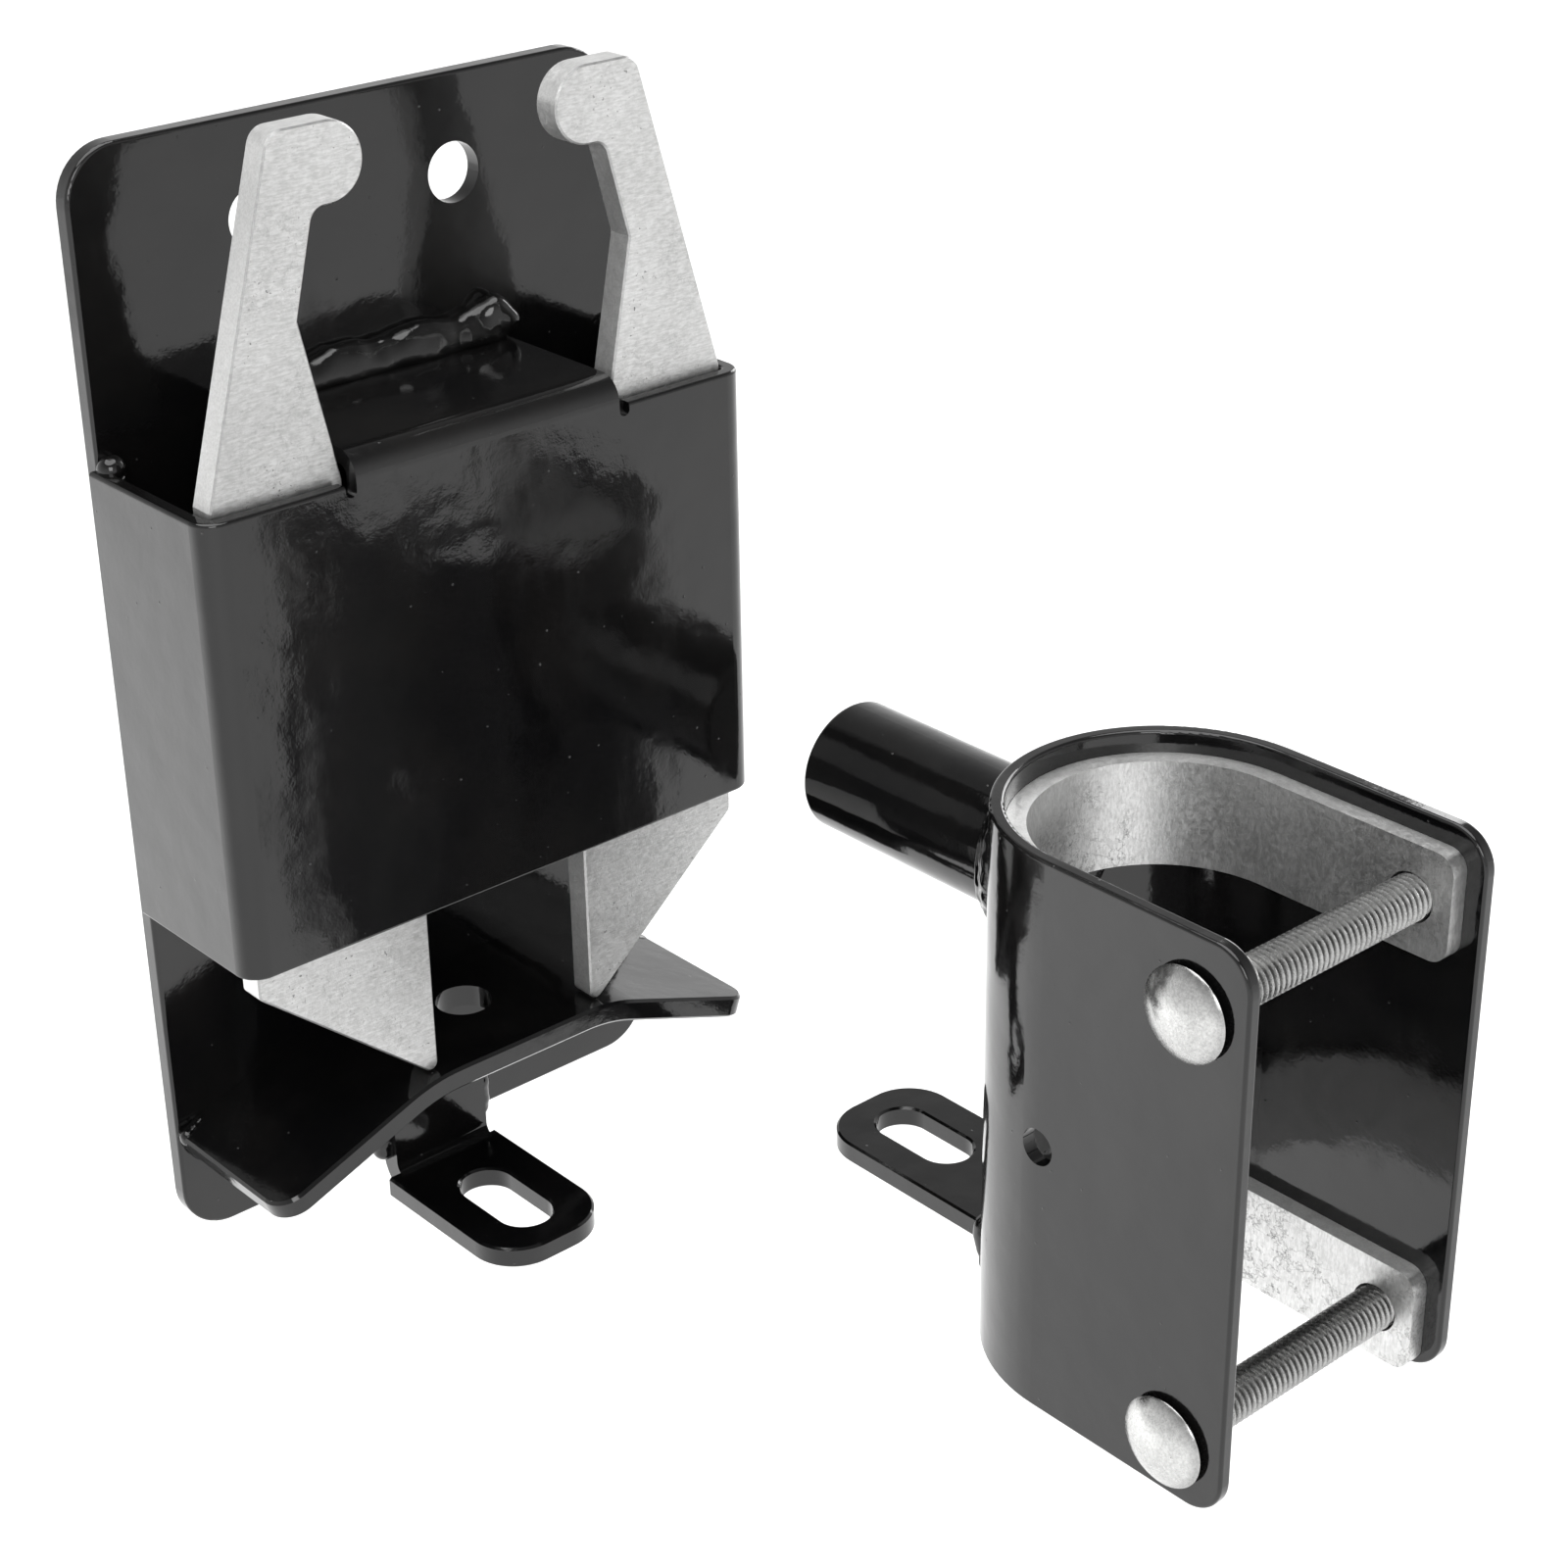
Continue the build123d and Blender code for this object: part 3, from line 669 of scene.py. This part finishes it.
# %% Bolt sizes
bolt_low, bolt_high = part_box("lower_carriage_bolt")
bolt_axis = Vector((0, (bolt_low.y + bolt_high.y) / 2, (bolt_low.z + bolt_high.z) / 2))
head_r = (bolt_high.z - bolt_low.z) / 2
seat_x = clamp_low.x
THREAD_R, THREAD_ROOT, THREAD_PITCH = 0.00395, 0.00328, 0.00125
SHANK_R, THREAD_START, HEAD_RIM = 0.0038, 0.0095, 0.0009
NECK_WIDTH, NECK_LENGTH = 0.0079, 0.0025


def rod(radius, start, end, vertices=48):
    """A cylinder along X on the bolt's axis, from start to end."""
    place = ((start + end) / 2, bolt_axis.y, bolt_axis.z)
    turn = (0, math.pi / 2, 0)
    bpy.ops.mesh.primitive_cylinder_add(
        vertices=vertices, radius=radius, depth=end - start, location=place, rotation=turn)
    begin()
    return bpy.context.object


print("bolt from", round(bolt_low.x, 5), "to", round(bolt_high.x, 5))

# %% [markdown]
# The thread could be a bump, but it shows in outline, so it is real: one tooth's profile, swept
# by a Screw modifier once per turn, merged, and cut flat at both ends.  The profile is a short
# line whose middle points are raised in three moves, which leaves a round crest and root, as
# rolling does.

# %% Rolled thread
PROFILE_CUTS, TURN_STEPS, TIP_LENGTH, TIP_TAPER = 7, 28, 0.0009, 0.86
CREST = ((0.34, 0.35), (0.2, 0.4), (0.07, 0.25))


def thread(start, end):
    """A rolled thread from start to end along X."""
    begin()
    bpy.ops.mesh.primitive_plane_add(size=THREAD_PITCH, location=(0, 0, 0))
    screw = bpy.context.object
    pick("VERT", lambda co: co.y > 0)
    bpy.ops.mesh.delete(type="VERT")
    bpy.ops.mesh.select_all(action="SELECT")
    bpy.ops.mesh.subdivide(number_cuts=PROFILE_CUTS)
    bpy.ops.transform.translate(value=(0, THREAD_ROOT + THREAD_PITCH / 2, 0))
    for reach, rise in CREST:
        pick("VERT", lambda co: abs(co.x) < reach * THREAD_PITCH)
        bpy.ops.transform.translate(value=(0, rise * (THREAD_R - THREAD_ROOT), 0))
    bpy.ops.object.mode_set(mode="OBJECT")
    turns = math.ceil((end - start) / THREAD_PITCH) + 2
    apply_modifier(screw, "SCREW", axis="X", screw_offset=THREAD_PITCH, iterations=turns,
                   steps=TURN_STEPS, render_steps=TURN_STEPS)
    screw.location = (start - THREAD_PITCH, bolt_axis.y, bolt_axis.z)
    screw.select_set(True)
    bpy.ops.object.transform_apply(location=True, rotation=False, scale=False)
    bpy.ops.object.mode_set(mode="EDIT")
    bpy.ops.mesh.select_all(action="SELECT")
    bpy.ops.mesh.remove_doubles(threshold=0.00001)
    for cut, outward in ((start, -1), (end, 1)):
        bpy.ops.mesh.select_all(action="SELECT")
        bpy.ops.mesh.bisect(plane_co=(cut, 0, 0), plane_no=(outward, 0, 0), use_fill=True,
                            clear_outer=True)
    pick("VERT", lambda co: co.x > end - TIP_LENGTH)
    bpy.ops.transform.resize(value=(1, TIP_TAPER, TIP_TAPER),
                             center_override=(end, bolt_axis.y, bolt_axis.z))
    begin()
    return screw


print("thread pitch", THREAD_PITCH)

# %% [markdown]
# The head could be lathed, but a slice of a large ball is the same dome.  Its flat face is pulled
# out to a short rim, and a small bevel rounds the rim.  The neck is a bevelled cube, which the
# square hole in the clamp keeps from turning.

# %% Bolt head and neck
def bolt_head():
    """A slice of a large ball, with its flat face pulled out to a short rim."""
    rise = seat_x - HEAD_RIM - bolt_low.x
    ball_r = (head_r ** 2 + rise ** 2) / (2 * rise)
    begin()
    bpy.ops.mesh.primitive_uv_sphere_add(
        segments=64, ring_count=48, radius=ball_r,
        location=(bolt_low.x + ball_r, bolt_axis.y, bolt_axis.z), rotation=(0, math.pi / 2, 0))
    bpy.ops.object.transform_apply(location=True, rotation=True, scale=True)
    head = bpy.context.object
    bpy.ops.object.mode_set(mode="EDIT")
    bpy.ops.mesh.select_all(action="SELECT")
    rim_x = seat_x - HEAD_RIM
    bpy.ops.mesh.bisect(plane_co=(rim_x, 0, 0), plane_no=(1, 0, 0), use_fill=True,
                        clear_outer=True)
    pick("FACE", lambda centre: centre.x > rim_x - 0.00002)
    bpy.ops.mesh.extrude_region_move(TRANSFORM_OT_translate={"value": (HEAD_RIM, 0, 0)})
    begin()
    apply_modifier(head, "BEVEL", width=0.00022, segments=2, limit_method="ANGLE",
                   angle_limit=math.radians(25))
    return head


def square_neck():
    """The square part under the head."""
    place = (seat_x + NECK_LENGTH / 2, bolt_axis.y, bolt_axis.z)
    bpy.ops.mesh.primitive_cube_add(size=1, location=place,
                                    scale=(NECK_LENGTH, NECK_WIDTH, NECK_WIDTH))
    neck = bpy.context.object
    bpy.ops.object.transform_apply(location=True, rotation=True, scale=True)
    apply_modifier(neck, "BEVEL", width=0.0005, segments=2)
    return neck


print("head radius", round(head_r, 5))

# %% [markdown]
# The four parts overlap a little inside, and are joined to one bolt, as one forging is.

# %% Lower bolt
THREAD_OVERLAP, END_GAP = 0.0006, 0.0002
shank = rod(SHANK_R, seat_x + 0.001, seat_x + THREAD_START)
apply_modifier(shank, "BEVEL", width=0.0004, segments=2, limit_method="ANGLE")
screw = (seat_x + THREAD_START - THREAD_OVERLAP, bolt_high.x - END_GAP)
parts = [bolt_head(), square_neck(), shank, thread(*screw)]
for part in parts:
    begin()
    part.select_set(True)
    bpy.context.view_layer.objects.active = part
    bpy.ops.object.transform_apply(location=True, rotation=True, scale=True)
lower_bolt = settle(join(parts), "lower_threaded_bolt", zinc_fastener, 50)
print("bolt faces", len(lower_bolt.data.polygons))

# %% [markdown]
# The nut is a six-sided bar whose corners are turned away by a cone at both faces: intersecting
# the bar with a ball does both at once.  It is a thin nut, because no taller one would hide
# behind the flange.

# %% Nut
nut_low, nut_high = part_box("lower_nut")
nut_corner_r = (nut_high.z - nut_low.z) / 2
NUT_CORNER_CUT = 0.0007
begin()
lower_nut = rod(nut_corner_r, nut_low.x, nut_high.x, vertices=6)
nut_mid = (nut_low.x + nut_high.x) / 2
half_height = (nut_high.x - nut_low.x) / 2
ball_r = math.hypot(half_height, nut_corner_r - NUT_CORNER_CUT)
bpy.ops.mesh.primitive_uv_sphere_add(
    segments=96, ring_count=64, radius=ball_r, location=(nut_mid, bolt_axis.y, bolt_axis.z),
    rotation=(0, math.pi / 2, 0))
ball = bpy.context.object
apply_modifier(lower_nut, "BOOLEAN", operation="INTERSECT", object=ball, solver="EXACT")
bpy.data.objects.remove(ball)
apply_modifier(lower_nut, "BEVEL", width=0.00015, segments=1, limit_method="ANGLE",
               angle_limit=math.radians(40))
lower_nut = settle(lower_nut, "lower_hex_nut", zinc_fastener, 25)
print("nut faces", len(lower_nut.data.polygons))

# %% [markdown]
# The washer is a punched disc: two faces inset and bridged make the hole, and a small bevel gives
# the punched edge its roll.

# %% Washer
BORE_GAP = 0.0003
washer_low, washer_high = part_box("lower_washer")
washer_r = (washer_high.z - washer_low.z) / 2
begin()
lower_washer = rod(washer_r, washer_low.x, washer_high.x, vertices=64)
bpy.context.view_layer.objects.active = lower_washer
lower_washer.select_set(True)
bpy.ops.object.transform_apply(location=True, rotation=True, scale=True)
pick("FACE", lambda centre: math.hypot(centre.y - bolt_axis.y, centre.z - bolt_axis.z) < 0.001)
bpy.ops.mesh.inset(thickness=washer_r - THREAD_R - BORE_GAP)
bpy.ops.mesh.bridge_edge_loops()
bpy.ops.object.mode_set(mode="OBJECT")
apply_modifier(lower_washer, "BEVEL", width=0.00025, segments=2, limit_method="ANGLE")
lower_washer = settle(lower_washer, "lower_flat_washer", zinc_fastener, 35)
print("washer faces", len(lower_washer.data.polygons))

# %% [markdown]
# Both bolts are the same part, so the upper set is a copy of the lower one with its own mesh,
# raised by the distance between the CAD bolts.

# %% The two sets of fasteners
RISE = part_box("upper_carriage_bolt")[0].z - bolt_low.z
fasteners = (
    (lower_bolt, "carriage_bolt", "threaded_bolt"),
    (lower_nut, "nut", "hex_nut"),
    (lower_washer, "washer", "flat_washer"),
)
for piece, node, name in fasteners:
    begin()
    piece.select_set(True)
    bpy.context.view_layer.objects.active = piece
    bpy.ops.object.duplicate(linked=False)
    bpy.ops.transform.translate(value=(0, 0, RISE))
    upper = bpy.context.object
    bpy.ops.object.transform_apply(location=True, rotation=False, scale=False)
    upper.name = upper.data.name = f"upper_{name}"
    hand_over(piece, "gate_bracket", "zinc_fastener", f"lower_{node}")
    hand_over(upper, "gate_bracket", "zinc_fastener", f"upper_{node}")
